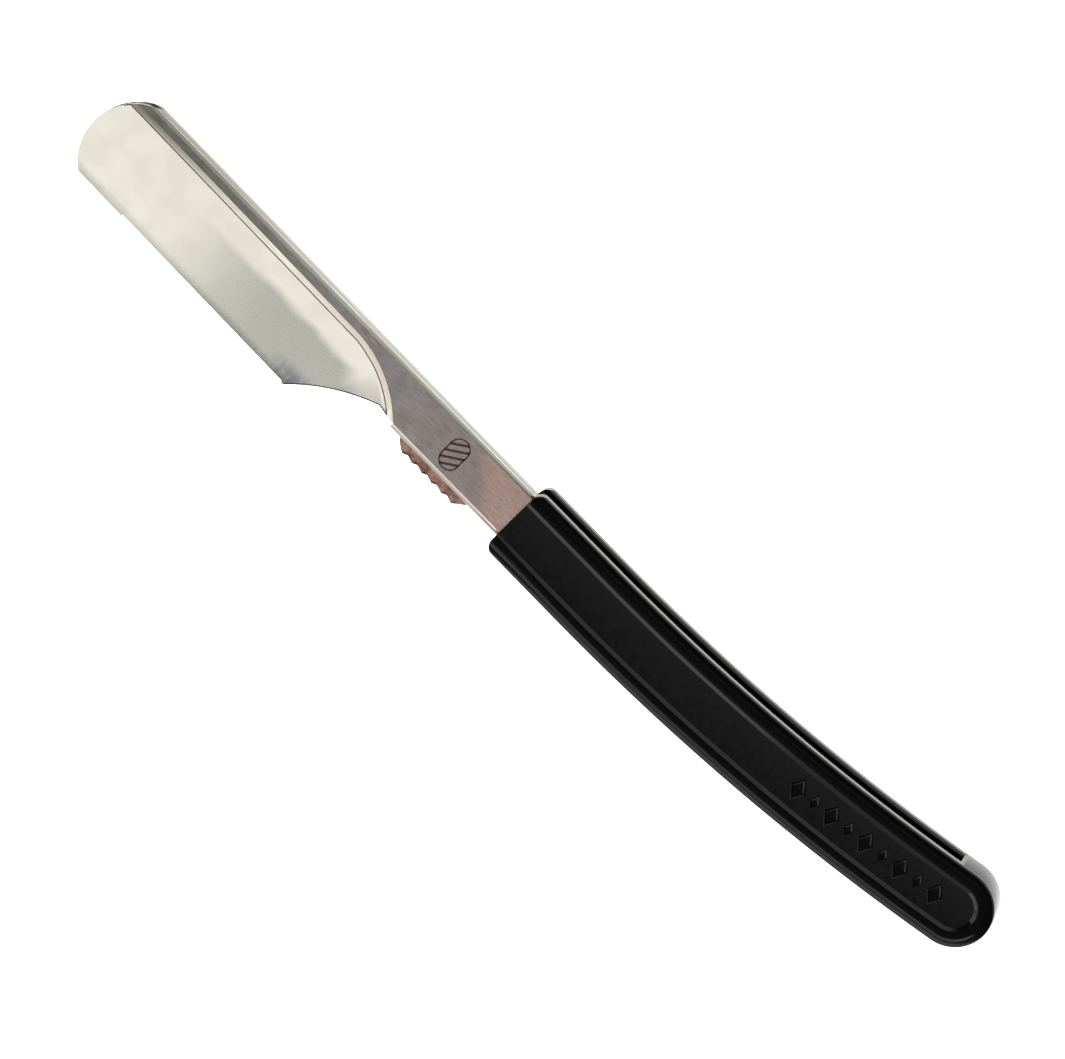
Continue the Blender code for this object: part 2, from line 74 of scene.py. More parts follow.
camera = bpy.data.objects.new("camera", bpy.data.cameras.new("camera"))
camera.data.sensor_width = 36.0
camera.data.lens = 235.8
camera.matrix_world = (
    Matrix.Translation(PIVOT + Vector((0.32, 3.57, 0.0)) * MM)
    @ Matrix.Rotation(-CAMERA_TILT, 4, "X")
    @ Matrix.Rotation(CAMERA_ROLL, 4, "Z")
    @ Matrix.Translation((0.0, 0.0, CAMERA_DISTANCE))
)
bpy.context.scene.collection.objects.link(camera)
bpy.context.scene.camera = camera
bpy.context.scene.view_settings.view_transform = "Standard"


# ---------------------------------------------------------------- studio
# An opal light table under an even sky, darker straight overhead so that flat steel keeps its
# tone, with one large softbox on the side of the edge and a strip light behind the spine.

SKY_STRENGTH = 2.05
TABLE_GLOW = 1.1
TABLE_RADIUS = 4.0              # metres
TABLE_GAP = 0.05


def linear(code):
    """An sRGB colour such as "C8C4BC" as linear RGBA."""
    parts = [int(code[i:i + 2], 16) / 255 for i in (0, 2, 4)]
    return [p / 12.92 if p <= 0.04045 else ((p + 0.055) / 1.055) ** 2.4 for p in parts] + [1.0]


def feed(tree, node, inputs):
    """Sets a node's inputs. A node or an output is linked, by the node's first output in use."""
    for name, value in inputs.items():
        if isinstance(value, bpy.types.Node):
            value = next(output for output in value.outputs if output.enabled)
        if isinstance(value, bpy.types.NodeSocket):
            tree.links.new(value, node.inputs[name])
        else:
            node.inputs[name].default_value = value


def add_node(tree, kind, inputs=None, **settings):
    """Adds a node with its settings and feeds its inputs."""
    made = tree.nodes.new(kind)
    for name, value in settings.items():
        setattr(made, name, value)
    feed(tree, made, inputs or {})
    return made


def set_stops(ramp, stops):
    """Gives a colour ramp its stops, each a place from 0 to 1 and a linear colour."""
    while len(ramp.elements) < len(stops):
        ramp.elements.new(1.0)
    for element, (place, colour) in zip(ramp.elements, stops):
        element.position = place
        element.color = colour


def grey(value):
    return (value, value, value, 1.0)


world = bpy.data.worlds.new("studio")
bpy.context.scene.world = world
world.use_nodes = True
sky = world.node_tree
sky.nodes.clear()
direction = add_node(sky, "ShaderNodeTexCoord")
parts = add_node(sky, "ShaderNodeSeparateXYZ", {0: direction.outputs["Generated"]})
along_y = add_node(sky, "ShaderNodeMath", {0: parts.outputs["Y"], 1: 0.5, 2: 0.5}, operation="MULTIPLY_ADD")
dome = add_node(sky, "ShaderNodeValToRGB", {0: along_y})
set_stops(dome.color_ramp, [
    (0.00, grey(0.28)), (0.14, grey(0.45)), (0.23, grey(1.0)), (0.29, grey(1.0)), (0.33, grey(0.07)),
    (0.40, grey(0.03)), (0.56, grey(0.07)), (0.68, grey(0.55)), (1.00, grey(0.55)),
])
lit = add_node(sky, "ShaderNodeBackground", {"Color": dome, "Strength": SKY_STRENGTH})
seen = add_node(sky, "ShaderNodeBackground", {"Color": grey(1.0), "Strength": 1.0})
ray = add_node(sky, "ShaderNodeLightPath")
both = add_node(sky, "ShaderNodeMixShader", {0: ray.outputs["Is Camera Ray"], 1: lit, 2: seen})
add_node(sky, "ShaderNodeOutputWorld", {"Surface": both})

for name, place, size, watts in (
    ("softbox", (-0.25, -1.0, 0.55), (0.9, 0.4), 1.5),
    ("strip_light", (0.10, 1.1, 0.35), (1.1, 0.16), 2.5),
):
    lamp = bpy.data.lights.new(name, "AREA")
    lamp.shape = "RECTANGLE"
    lamp.size, lamp.size_y = size
    lamp.energy = watts
    stand = bpy.data.objects.new(name, lamp)
    stand.location = place
    stand.rotation_euler = (-Vector(place)).to_track_quat("-Z", "Y").to_euler()
    bpy.context.scene.collection.objects.link(stand)

# Opal glass over lamps: it glows evenly, and what it mirrors is blurred away
opal = bpy.data.materials.new("opal_light_table")
opal.use_nodes = True
feed(opal.node_tree, opal.node_tree.nodes["Principled BSDF"], {
    "Base Color": linear("F7F7F6"), "Roughness": 0.9,
    "Emission Color": linear("FFFFFF"), "Emission Strength": TABLE_GLOW,
})
disc = bmesh.new()
bmesh.ops.create_circle(disc, cap_ends=True, segments=64, radius=TABLE_RADIUS)
bmesh.ops.translate(disc, verts=disc.verts, vec=(0.0, 0.0, cad_box[0].z - TABLE_GAP * MM))
floor_mesh = bpy.data.meshes.new("floor")
disc.to_mesh(floor_mesh)
disc.free()
floor_mesh.materials.append(opal)
floor = bpy.data.objects.new("floor", floor_mesh)
bpy.context.scene.collection.objects.link(floor)


# ---------------------------------------------------------------- handle
# One black ABS moulding: two walls joined at the far end, with polished rims and a sunk panel on
# each broad side that was spark-eroded in the mould, so it comes out finely matt.

HANDLE_HALF_WIDTH = 8.95
HANDLE_HALF_THICKNESS = (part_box("handle")[1].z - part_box("handle")[0].z) / 2 / MM
HANDLE_FRONT = -4.3
HANDLE_RISE = 3.3
HANDLE_STRAIGHT = 18.5
HANDLE_BEND = 540.0
HANDLE_TIP = (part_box("handle")[1].x - PIVOT.x) / MM
HANDLE_CORNER = 2.5
PANEL_HALF_WIDTH = 4.45
PANEL_DEPTH = 0.4
RIM_INNER = 5.35                # offset of the panel's upper edge from the centre line
LEDGE_INNER = 7.05              # the rim steps down here to a lower ledge
LEDGE_DROP = 0.12
SLOT_HALF = 2.3
SLOT_END = HANDLE_TIP - 13.2
ABS_IOR = 1.54
end_turn = math.asin((HANDLE_TIP - HANDLE_HALF_WIDTH - HANDLE_STRAIGHT) / HANDLE_BEND)
END_CENTRE = Vector((
    HANDLE_STRAIGHT + HANDLE_BEND * math.sin(end_turn),
    HANDLE_RISE + HANDLE_BEND * (1 - math.cos(end_turn)),
    0.0,
))


def arc(centre, radius, start, end, steps):
    """Points on an arc between two angles, both included."""
    points = []
    for i in range(steps + 1):
        angle = start + (end - start) * i / steps
        points.append((centre[0] + radius * math.cos(angle), centre[1] + radius * math.sin(angle)))
    return points


def rounded(corners, steps=4):
    """A line through corners of (x, y, radius), each turned into an arc of its radius."""
    points = []
    for i, (x, y, radius) in enumerate(corners):
        if radius == 0 or i in (0, len(corners) - 1):
            points.append((x, y))
            continue
        here = Vector((x, y))
        back = (Vector(corners[i - 1][:2]) - here).normalized()
        ahead = (Vector(corners[i + 1][:2]) - here).normalized()
        half_angle = back.angle(ahead) / 2
        centre = here + (back + ahead).normalized() * radius / math.sin(half_angle)
        start = here + back * radius / math.tan(half_angle) - centre
        sweep_angle = start.angle_signed(here + ahead * radius / math.tan(half_angle) - centre)
        for step in range(steps + 1):
            turned = Matrix.Rotation(-sweep_angle * step / steps, 2) @ start
            points.append(tuple(centre + turned))
    return points


def ring_of(bm, points):
    """A closed ring of edges through points."""
    verts = [bm.verts.new(p) for p in points]
    return [bm.edges.new((a, b)) for a, b in zip(verts, verts[1:] + verts[:1])]


def only_edges(geometry):
    return [item for item in geometry if isinstance(item, bmesh.types.BMEdge)]


def only_verts(geometry):
    return [item for item in geometry if isinstance(item, bmesh.types.BMVert)]


def settle(bm, name, materials=()):
    """Makes an object of a piece drawn in millimetres about the pivot, with its place in its mesh."""
    bmesh.ops.scale(bm, vec=(MM, MM, MM), verts=bm.verts)
    bmesh.ops.translate(bm, vec=PIVOT, verts=bm.verts)
    mesh = bpy.data.meshes.new(name)
    bm.to_mesh(mesh)
    bm.free()
    for made in materials:
        mesh.materials.append(made)
    piece = bpy.data.objects.new(name, mesh)
    bpy.context.scene.collection.objects.link(piece)
    return piece


def shade(piece, degrees=30):
    piece.data.shade_smooth()
    piece.data.set_sharp_from_angle(angle=math.radians(degrees))


def carve(piece, cutter, operation="DIFFERENCE"):
    """Cuts a piece once and for all, and removes the cutter."""
    change = piece.modifiers.new("carve", "BOOLEAN")
    change.operation = operation
    change.solver = "EXACT"
    change.object = cutter
    bpy.context.view_layer.update()
    shaped = piece.evaluated_get(bpy.context.evaluated_depsgraph_get())
    mesh = bpy.data.meshes.new_from_object(shaped)
    piece.modifiers.clear()
    piece.data = mesh
    bpy.data.objects.remove(cutter)


def new_finish(name):
    made = bpy.data.materials.new(name)
    made.use_nodes = True
    return made, made.node_tree, made.node_tree.nodes["Principled BSDF"]


# Polished black ABS: deep gloss with the slight ripple of a large moulding, and fine hairlines
RIPPLE = 9.0
HAIRLINES = 0.8
gloss_abs, tree, shader = new_finish("polished_black_abs")
place = add_node(tree, "ShaderNodeTexCoord").outputs["Object"]
ripple = add_node(tree, "ShaderNodeTexNoise", {"Vector": place, "Scale": 1 / (RIPPLE * MM), "Detail": 1.0})
hairlines = add_node(tree, "ShaderNodeTexNoise", {
    "Vector": place, "Scale": 1 / (HAIRLINES * MM), "Detail": 4.0,
})
feed(tree, shader, {
    "IOR": ABS_IOR,
    "Specular IOR Level": 0.28,
    "Base Color": add_node(tree, "ShaderNodeMix", {0: ripple, 6: linear("010101"), 7: linear("030303")},
                           data_type="RGBA"),
    "Roughness": add_node(tree, "ShaderNodeMapRange", {0: hairlines, 1: 0.3, 2: 0.75, 3: 0.06, 4: 0.13}),
    "Normal": add_node(tree, "ShaderNodeBump", {"Height": ripple, "Strength": 0.25, "Distance": 0.05 * MM}),
})

# The narrow sides, dressed after moulding: dull, with fine scratches along, and a lighter grey that is a
# painted reflection
SCRATCHES_PER_MM = (0.06, 0.9, 9.0)
side_abs_painted_reflection, tree, shader = new_finish("side_black_abs_painted_reflection")
place = add_node(tree, "ShaderNodeTexCoord").outputs["Object"]
lay = add_node(tree, "ShaderNodeMapping", {
    "Vector": place, "Scale": [count / MM for count in SCRATCHES_PER_MM],
})
scratch = add_node(tree, "ShaderNodeTexNoise", {"Vector": lay, "Scale": 1.0, "Detail": 3.0})
feed(tree, shader, {
    "IOR": ABS_IOR,
    # the lighter grey laid into the black is a painted reflection of the bright table
    "Base Color": add_node(tree, "ShaderNodeMix", {0: scratch, 6: linear("3C3C38"), 7: linear("6A6A62")},
                           data_type="RGBA"),
    "Roughness": add_node(tree, "ShaderNodeMapRange", {0: scratch, 1: 0.3, 2: 0.7, 3: 0.22, 4: 0.36}),
    "Normal": add_node(tree, "ShaderNodeBump", {"Height": scratch, "Strength": 0.1, "Distance": 0.02 * MM}),
})

# Spark-eroded ABS panel: an even grain of about a third of a millimetre, satin to the eye
GRAIN = 0.3
PATCHES = 1.6
matt_abs, tree, shader = new_finish("textured_black_abs")
place = add_node(tree, "ShaderNodeTexCoord").outputs["Object"]
grain = add_node(tree, "ShaderNodeTexNoise", {"Vector": place, "Scale": 1 / (GRAIN * MM), "Detail": 1.0})
patches = add_node(tree, "ShaderNodeTexNoise", {"Vector": place, "Scale": 1 / (PATCHES * MM), "Detail": 4.0})
feed(tree, shader, {
    "IOR": ABS_IOR,
    "Specular IOR Level": 0.13,
    "Base Color": add_node(tree, "ShaderNodeMix", {0: patches, 6: linear("010101"), 7: linear("0E0E0D")},
                           data_type="RGBA"),
    "Roughness": add_node(tree, "ShaderNodeMapRange", {0: patches, 1: 0.3, 2: 0.7, 3: 0.26, 4: 0.36}),
    "Normal": add_node(tree, "ShaderNodeBump", {"Height": grain, "Strength": 0.3, "Distance": 0.02 * MM}),
})

high = HANDLE_HALF_THICKNESS
panel = high - PANEL_DEPTH
upper_half = rounded([
    (0.0, panel, 0), (PANEL_HALF_WIDTH, panel, 0.25), (RIM_INNER, high, 0.18), (LEDGE_INNER, high, 0.5),
    (LEDGE_INNER + 0.5, high - LEDGE_DROP, 0.5), (HANDLE_HALF_WIDTH, high - LEDGE_DROP, 0.5),
    (HANDLE_HALF_WIDTH, 0.0, 0),
])
near_half = upper_half + [(v, -z) for v, z in upper_half[-2::-1]]
far_half = [(-v, z) for v, z in near_half[-2:0:-1]]

body = bmesh.new()
section = ring_of(body, [(HANDLE_FRONT - 2.0, HANDLE_RISE - v, z) for v, z in near_half + far_half])
body.faces.new([edge.verts[0] for edge in section])
run = bmesh.ops.extrude_edge_only(body, edges=section)["geom"]
bmesh.ops.translate(body, verts=only_verts(run), vec=(HANDLE_STRAIGHT - HANDLE_FRONT + 2.0, 0.0, 0.0))
run = bmesh.ops.spin(body, geom=only_verts(run) + only_edges(run), axis=(0, 0, 1), angle=end_turn, steps=60,
                     cent=(HANDLE_STRAIGHT, HANDLE_RISE + HANDLE_BEND, 0.0))["geom_last"]
across = Vector((-math.sin(end_turn), math.cos(end_turn), 0.0))
near = {v for v in only_verts(run) if (v.co - END_CENTRE).dot(across) < 0.001}
near_edges = [e for e in only_edges(run) if e.verts[0] in near and e.verts[1] in near]
bmesh.ops.spin(body, geom=list(near) + near_edges, cent=END_CENTRE, axis=(0, 0, 1), angle=math.pi, steps=56)
bmesh.ops.remove_doubles(body, verts=body.verts, dist=0.002)
bmesh.ops.recalc_face_normals(body, faces=body.faces)
handle = settle(body, "handle_moulding")

# The front end has round corners and softly broken edges. The block that the handle is trimmed to
# is longer than the handle, and spreads behind the front so that it leaves the bend alone.
TRIM_LENGTH = 160.0
TRIM_SPREAD = 60.0
TRIM_PLAY = 0.02
trim = bmesh.new()
bmesh.ops.create_cube(trim, size=1.0)
trim_size = (TRIM_LENGTH, 2 * HANDLE_HALF_WIDTH + TRIM_PLAY, 2 * high + TRIM_PLAY)
bmesh.ops.scale(trim, vec=trim_size, verts=trim.verts)
bmesh.ops.translate(trim, vec=(TRIM_LENGTH / 2 + HANDLE_FRONT, HANDLE_RISE, 0.0), verts=trim.verts)
corners = [e for e in trim.edges if max(v.co.x for v in e.verts) < 0 and e.verts[0].co.y == e.verts[1].co.y]
bmesh.ops.bevel(trim, geom=corners, offset=HANDLE_CORNER, segments=10, profile=0.5, affect="EDGES",
                material=-1)
for v in trim.verts:
    if v.co.x > TRIM_LENGTH / 2:
        v.co.y = HANDLE_RISE + math.copysign(TRIM_SPREAD, v.co.y - HANDLE_RISE)
front_edges = [
    e for e in trim.edges
    if abs(e.verts[0].co.z - e.verts[1].co.z) < 0.01 and max(v.co.x for v in e.verts) < TRIM_LENGTH / 2
]
bmesh.ops.bevel(trim, geom=front_edges, offset=0.4, segments=3, profile=0.5, affect="EDGES", material=-1)
carve(handle, settle(trim, "trim"), "INTERSECT")

# The slot between the walls has rounded mouths; it stops where the nose of the folded cover rests
MOUTH_ROUND = 0.8
mouth = arc((HANDLE_HALF_WIDTH - MOUTH_ROUND, SLOT_HALF + MOUTH_ROUND), MOUTH_ROUND, -math.pi / 2, 0, 5)
quarter = [(0.0, SLOT_HALF)] + mouth + [(HANDLE_HALF_WIDTH + 2.0, SLOT_HALF + MOUTH_ROUND)]
half = quarter + [(v, -z) for v, z in quarter[::-1]]
slot_turn = math.asin((SLOT_END - HANDLE_STRAIGHT) / HANDLE_BEND)
slot = bmesh.new()
outline = half + [(-v, -z) for v, z in half[1:-1]]
section = ring_of(slot, [(HANDLE_FRONT - 5.0, HANDLE_RISE - v, z) for v, z in outline])
slot.faces.new([edge.verts[0] for edge in section])
run = bmesh.ops.extrude_edge_only(slot, edges=section)["geom"]
bmesh.ops.translate(slot, verts=only_verts(run), vec=(HANDLE_STRAIGHT - HANDLE_FRONT + 5.0, 0.0, 0.0))
run = bmesh.ops.spin(slot, geom=only_verts(run) + only_edges(run), axis=(0, 0, 1), angle=slot_turn, steps=50,
                     cent=(HANDLE_STRAIGHT, HANDLE_RISE + HANDLE_BEND, 0.0))["geom_last"]
bmesh.ops.contextual_create(slot, geom=only_edges(run))
bmesh.ops.recalc_face_normals(slot, faces=slot.faces)
carve(handle, settle(slot, "slot"))

# The pocket in the far end is the closed nose's arc with clearance, open towards the back
NOSE_RADIUS = 13.75
NOSE_BELOW = 2.3
NOSE_CLEARANCE = 0.8
nose_x = (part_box("blade_cover")[0].x - PIVOT.x) / MM + NOSE_RADIUS
nose = Matrix.Rotation(math.radians(hinge["range_deg"][1]), 2) @ Vector((nose_x, -NOSE_BELOW))
pocket_radius = NOSE_RADIUS + NOSE_CLEARANCE
POCKET_ROOF = 10.4              # just above the edge of the closed cover
POCKET_BACK = SLOT_END - 6.0    # well inside the slot
POCKET_FLOOR = -60.0            # well outside the handle
pocket_line = arc(nose, pocket_radius, 0.0, math.asin((POCKET_ROOF - nose.y) / pocket_radius), 12)
pocket_line += [
    (POCKET_BACK, POCKET_ROOF), (POCKET_BACK, POCKET_FLOOR), (nose.x + pocket_radius, POCKET_FLOOR),
]
pocket = bmesh.new()
section = ring_of(pocket, [(px, py, -SLOT_HALF) for px, py in pocket_line])
face = pocket.faces.new([edge.verts[0] for edge in section])
top = bmesh.ops.extrude_face_region(pocket, geom=[face])["geom"]
bmesh.ops.translate(pocket, verts=only_verts(top), vec=(0, 0, 2 * SLOT_HALF))
bmesh.ops.recalc_face_normals(pocket, faces=pocket.faces)
carve(handle, settle(pocket, "pocket"))
shade(handle, 35)
for face in handle.data.polygons:
    level = abs(face.center.z - PIVOT.z) / MM
    if panel - 0.05 < level < panel + 0.12 and abs(face.normal.z) > 0.8:
        face.material_index = 1
    # the narrow sides take the lighter grey of the painted reflection
    elif level > SLOT_HALF and abs(face.normal.z) < 0.45 and abs(face.normal.y) > 0.5:
        face.material_index = 2
for made in (gloss_abs, matt_abs, side_abs_painted_reflection):
    handle.data.materials.append(made)
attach(handle, "handle")
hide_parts("handle")

# A row of raised lozenges, moulded with the handle, in the rear half of each panel
LOZENGES = 9
LOZENGE_PITCH = 4.6
LOZENGE_SIZE = (2.0, 2.9)       # half length and half width
LOZENGE_HEIGHT = 0.16
LOZENGE_ROOT = 0.05             # how far each one reaches into the panel
FIRST_LOZENGE = 80.0
SMALL_SHARE = 0.62              # every second one is smaller

ornament = bmesh.new()
for side in (1, -1):
    for i in range(LOZENGES):
        turn = (FIRST_LOZENGE + i * LOZENGE_PITCH - HANDLE_STRAIGHT) / HANDLE_BEND
        middle = Vector((
            HANDLE_STRAIGHT + HANDLE_BEND * math.sin(turn),
            HANDLE_RISE + HANDLE_BEND * (1 - math.cos(turn)),
            side * (panel - LOZENGE_ROOT),
        ))
        share = SMALL_SHARE if i % 2 else 1.0
        long_half, wide_half = LOZENGE_SIZE[0] * share, LOZENGE_SIZE[1] * share
        points = [(long_half, 0), (0, wide_half), (-long_half, 0), (0, -wide_half)]
        turned = Matrix.Rotation(turn, 3, "Z")
        edges = ring_of(ornament, [middle + turned @ Vector((x, y, 0)) for x, y in points])
        face = ornament.faces.new([edge.verts[0] for edge in edges])
        top = bmesh.ops.extrude_face_region(ornament, geom=[face])["geom"]
        rise = side * (LOZENGE_HEIGHT + LOZENGE_ROOT)
        bmesh.ops.translate(ornament, verts=only_verts(top), vec=(0, 0, rise))
        crown = next(item for item in top if isinstance(item, bmesh.types.BMFace))
        bmesh.ops.inset_region(ornament, faces=[crown], thickness=0.75 * share, depth=0.0)
        for vert in crown.verts:
            vert.co.z -= side * 0.07
bmesh.ops.recalc_face_normals(ornament, faces=ornament.faces)
bmesh.ops.bevel(ornament, geom=ornament.edges[:], offset=0.05, segments=2, profile=0.5, affect="EDGES",
                material=-1)
lozenges = settle(ornament, "handle_lozenges", [gloss_abs])
shade(lozenges, 40)
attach(lozenges, "handle")


# ---------------------------------------------------------------- blade cover
# Stainless sheet 0.6 mm thick, pressed and folded along the spine: the cheeks are tumbled to a satin, the
# spine, step and tang keep the brighter skin of the rolled sheet. Painted reflections lie on the cheeks, a
# painted highlight on the step, and painted shade on the folds, the step's crease and the edges.

HALF_TANG = (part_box("blade_cover")[1].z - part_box("blade_cover")[0].z) / 2 / MM
CHEEK_LEVEL = 1.52              # the cheeks' outer faces lie below this height
CHEEK_INSIDE = 1.0              # and above this one
HEEL_CORNER_X = -59.7
TANG_X = -46.0                  # the step turns down to the tang here
STEP_Y = 5.5                    # the step lies above this line, the folded spine above the next
SPINE_Y = 8.0
LIP_Y = -1.0                    # the lips lie below this line
STEP_END_X = -30.0              # the step's turn ends ahead of this
RECESS_END_X = -36.0            # the cut edges of the recess lie ahead of this
ALONG = (1.0, 0.0, 0.0)         # towards the handle
ACROSS = (0.0, 1.0, 0.0)        # towards the spine


def copy_of(node, flatten=1.0):
    """A CAD node's mesh in millimetres about the pivot, merged, with its flat faces made whole."""
    bm = bmesh.new()
    bm.from_mesh(frame["nodes"][node].data)
    bmesh.ops.translate(bm, vec=-PIVOT, verts=bm.verts)
    bmesh.ops.scale(bm, vec=(1 / MM, 1 / MM, 1 / MM), verts=bm.verts)
    bmesh.ops.remove_doubles(bm, verts=bm.verts, dist=0.002)
    bmesh.ops.dissolve_limit(bm, verts=bm.verts, edges=bm.edges, angle_limit=math.radians(flatten))
    return bm


def break_edges(bm, width, degrees=50, segments=2):
    """Rounds the edges of a piece that are sharper than an angle, as tumbling does."""
    sharp = [e for e in bm.edges if len(e.link_faces) == 2 and e.calc_face_angle(0) > math.radians(degrees)]
    bmesh.ops.bevel(bm, geom=sharp, offset=width, segments=segments, profile=0.5, affect="EDGES",
                    clamp_overlap=True, material=-1)
    return bm


def crease(piece, degrees=35):
    """Shades a piece smooth, but keeps flat faces flat where they meet a roll or a step."""
    piece.data.shade_smooth()
    bm = bmesh.new()
    bm.from_mesh(piece.data)
    for edge in bm.edges:
        if len(edge.link_faces) == 2:
            flats = [abs(face.normal.z) > 0.995 for face in edge.link_faces]
            edge.smooth = flats[0] == flats[1] and edge.calc_face_angle(0) < math.radians(degrees)
    bm.to_mesh(piece.data)
    bm.free()


def millimetres(tree):
    """The place on a piece, in millimetres about the pivot."""
    place = add_node(tree, "ShaderNodeTexCoord").outputs["Object"]
    moved = add_node(tree, "ShaderNodeVectorMath", {0: place, 1: PIVOT}, operation="SUBTRACT")
    return add_node(tree, "ShaderNodeVectorMath", {0: moved, 3: 1 / MM}, operation="SCALE")


def mottle(tree, place, size, detail=3.0, stretch=(1.0, 1.0, 1.0)):
    """Blotches about size millimetres across, drawn out to streaks where stretch is below 1."""
    drawn = add_node(tree, "ShaderNodeMapping", {"Vector": place, "Scale": [k / size for k in stretch]})
    return add_node(tree, "ShaderNodeTexNoise", {"Vector": drawn, "Scale": 1.0, "Detail": detail})


def zone(tree, place, direction, start, full, drift=0.0):
    """A part of the surface that fades in along a direction, from start to full in millimetres,
    with a border that wanders by drift."""
    along = add_node(tree, "ShaderNodeVectorMath", {0: place, 1: direction}, operation="DOT_PRODUCT")
    wandering = add_node(tree, "ShaderNodeMath", {0: along, 1: drift}, operation="ADD")
    return add_node(tree, "ShaderNodeMapRange", {0: wandering, 1: start, 2: full},
                    interpolation_type="SMOOTHSTEP")


def tinted(tree, tone, colour, pattern, low, high, strength=1.0):
    """A tone with a colour laid over it where a pattern rises from low to high."""
    share = add_node(tree, "ShaderNodeMapRange", {0: pattern, 1: low, 2: high, 4: strength},
                     interpolation_type="SMOOTHSTEP")
    return add_node(tree, "ShaderNodeMix", {0: share, 6: tone, 7: linear(colour)}, data_type="RGBA")


def streaked(tree, shader, tone, streaks, smooth, rough, relief=0.0, metallic=1.0):
    """Finishes a metal whose roughness, and relief where it has any, follow its streaks."""
    polish = add_node(tree, "ShaderNodeMapRange", {0: streaks, 1: 0.3, 2: 0.7, 3: smooth, 4: rough},
                      interpolation_type="SMOOTHSTEP")
    feed(tree, shader, {"Metallic": metallic, "Base Color": tone, "Roughness": polish})
    if relief:
        feed(tree, shader, {"Normal": add_node(tree, "ShaderNodeBump", {
            "Height": streaks, "Strength": relief, "Distance": 0.01 * MM,
        })})


# Satin cheeks: cream-white tumbled steel, a little smoother over the lower half, which a painted grey
# reflection darkens; a faint painted highlight towards the heel, and a painted dark bluish reflection at the
# heel corner
satin, tree, shader = new_finish("tumbled_satin_steel_painted_reflections")
place = millimetres(tree)
blotch = mottle(tree, place, 6.0, detail=1.5)
drift = add_node(tree, "ShaderNodeMath", {0: blotch, 1: 2.2, 2: -1.1}, operation="MULTIPLY_ADD")
# the lower half: a painted grey reflection in the colour, and a slightly smoother finish
polish_and_painted_reflection = add_node(tree, "ShaderNodeMath", {
    0: zone(tree, place, ACROSS, 1.8, -0.9, drift),
    1: zone(tree, place, ALONG, -108.0, -70.0, drift),
}, operation="MULTIPLY")
polish_and_painted_reflection = add_node(tree, "ShaderNodeMath", {
    0: polish_and_painted_reflection,
    1: zone(tree, place, (1.0, 0.6, 0.0), -47.0, -55.0),
}, operation="MULTIPLY")
tone = tinted(tree, linear("FFFAEC"), "F7F2E4", blotch, 0.3, 0.7)
# a faint painted highlight towards the heel
tone = add_node(tree, "ShaderNodeMix", {
    0: zone(tree, place, ALONG, -66.0, -48.0), 6: tone, 7: linear("FFFBF0"),
}, data_type="RGBA")
tone = add_node(tree, "ShaderNodeMix", {0: polish_and_painted_reflection, 6: tone, 7: linear("C4C4BA")}, data_type="RGBA")
grain = mottle(tree, place, 0.5, stretch=(1.0, 0.15, 1.0))
# a painted dark bluish reflection at the heel corner, broken up by a grain
painted_heel_reflection = add_node(tree, "ShaderNodeMath", {
    0: zone(tree, place, ALONG, -68.0, -60.0),
    1: zone(tree, place, ACROSS, -7.5, -11.0),
}, operation="MULTIPLY")
painted_heel_reflection = add_node(tree, "ShaderNodeMath", {
    0: painted_heel_reflection,
    1: add_node(tree, "ShaderNodeMapRange", {0: grain, 1: 0.25, 2: 0.6, 3: 0.35, 4: 0.9},
                interpolation_type="SMOOTHSTEP"),
}, operation="MULTIPLY")
tone = add_node(tree, "ShaderNodeMix", {0: painted_heel_reflection, 6: tone, 7: linear("80868C")}, data_type="RGBA")
pits = mottle(tree, place, 0.22, detail=4.0)
tone = tinted(tree, tone, "9A978C", pits, 0.35, 0.75, strength=0.05)
fine = mottle(tree, place, 0.12, detail=2.0, stretch=(0.25, 1.0, 1.0))
rough = add_node(tree, "ShaderNodeMapRange", {0: fine, 1: 0.3, 2: 0.7, 3: 0.30, 4: 0.42},
                 interpolation_type="SMOOTHSTEP")
feed(tree, shader, {
    "Metallic": 1.0,
    "Base Color": tone,
    "Roughness": add_node(tree, "ShaderNodeMath", {0: polish_and_painted_reflection, 1: -0.06, 2: rough},
                          operation="MULTIPLY_ADD"),
    "Normal": add_node(tree, "ShaderNodeBump", {"Height": pits, "Strength": 0.03, "Distance": 0.01 * MM}),
})

# Rolled skin of the sheet: grey and half bright, darker towards the nose, warm next to the handle
rolled, tree, shader = new_finish("rolled_stainless_steel")
place = millimetres(tree)
x = add_node(tree, "ShaderNodeSeparateXYZ", {0: place}).outputs["X"]
blotch = mottle(tree, place, 4.0)
drift = add_node(tree, "ShaderNodeMath", {0: blotch, 1: 5.0, 2: -2.5}, operation="MULTIPLY_ADD")
slant = add_node(tree, "ShaderNodeVectorMath", {0: place, 1: (0.714, 0.701, 0.0)}, operation="DOT_PRODUCT")
tone = tinted(tree, linear("96958E"), "BFBAB6", x, -110.0, -50.0)
tone = tinted(tree, tone, "A89C96", blotch, 0.35, 0.7, strength=0.4)
tone = tinted(tree, tone, "C6ACA2", slant, -28.0, -9.0, strength=0.45)
tone = add_node(tree, "ShaderNodeMix", {
    0: zone(tree, place, (0.714, 0.701, 0.0), -10.0, -4.4, drift), 6: tone, 7: linear("E4C3B8"),
}, data_type="RGBA")
drawn = mottle(tree, place, 0.10, stretch=(0.03, 1.0, 1.0))
streaked(tree, shader, tone, drawn, 0.16, 0.26, relief=0.08)

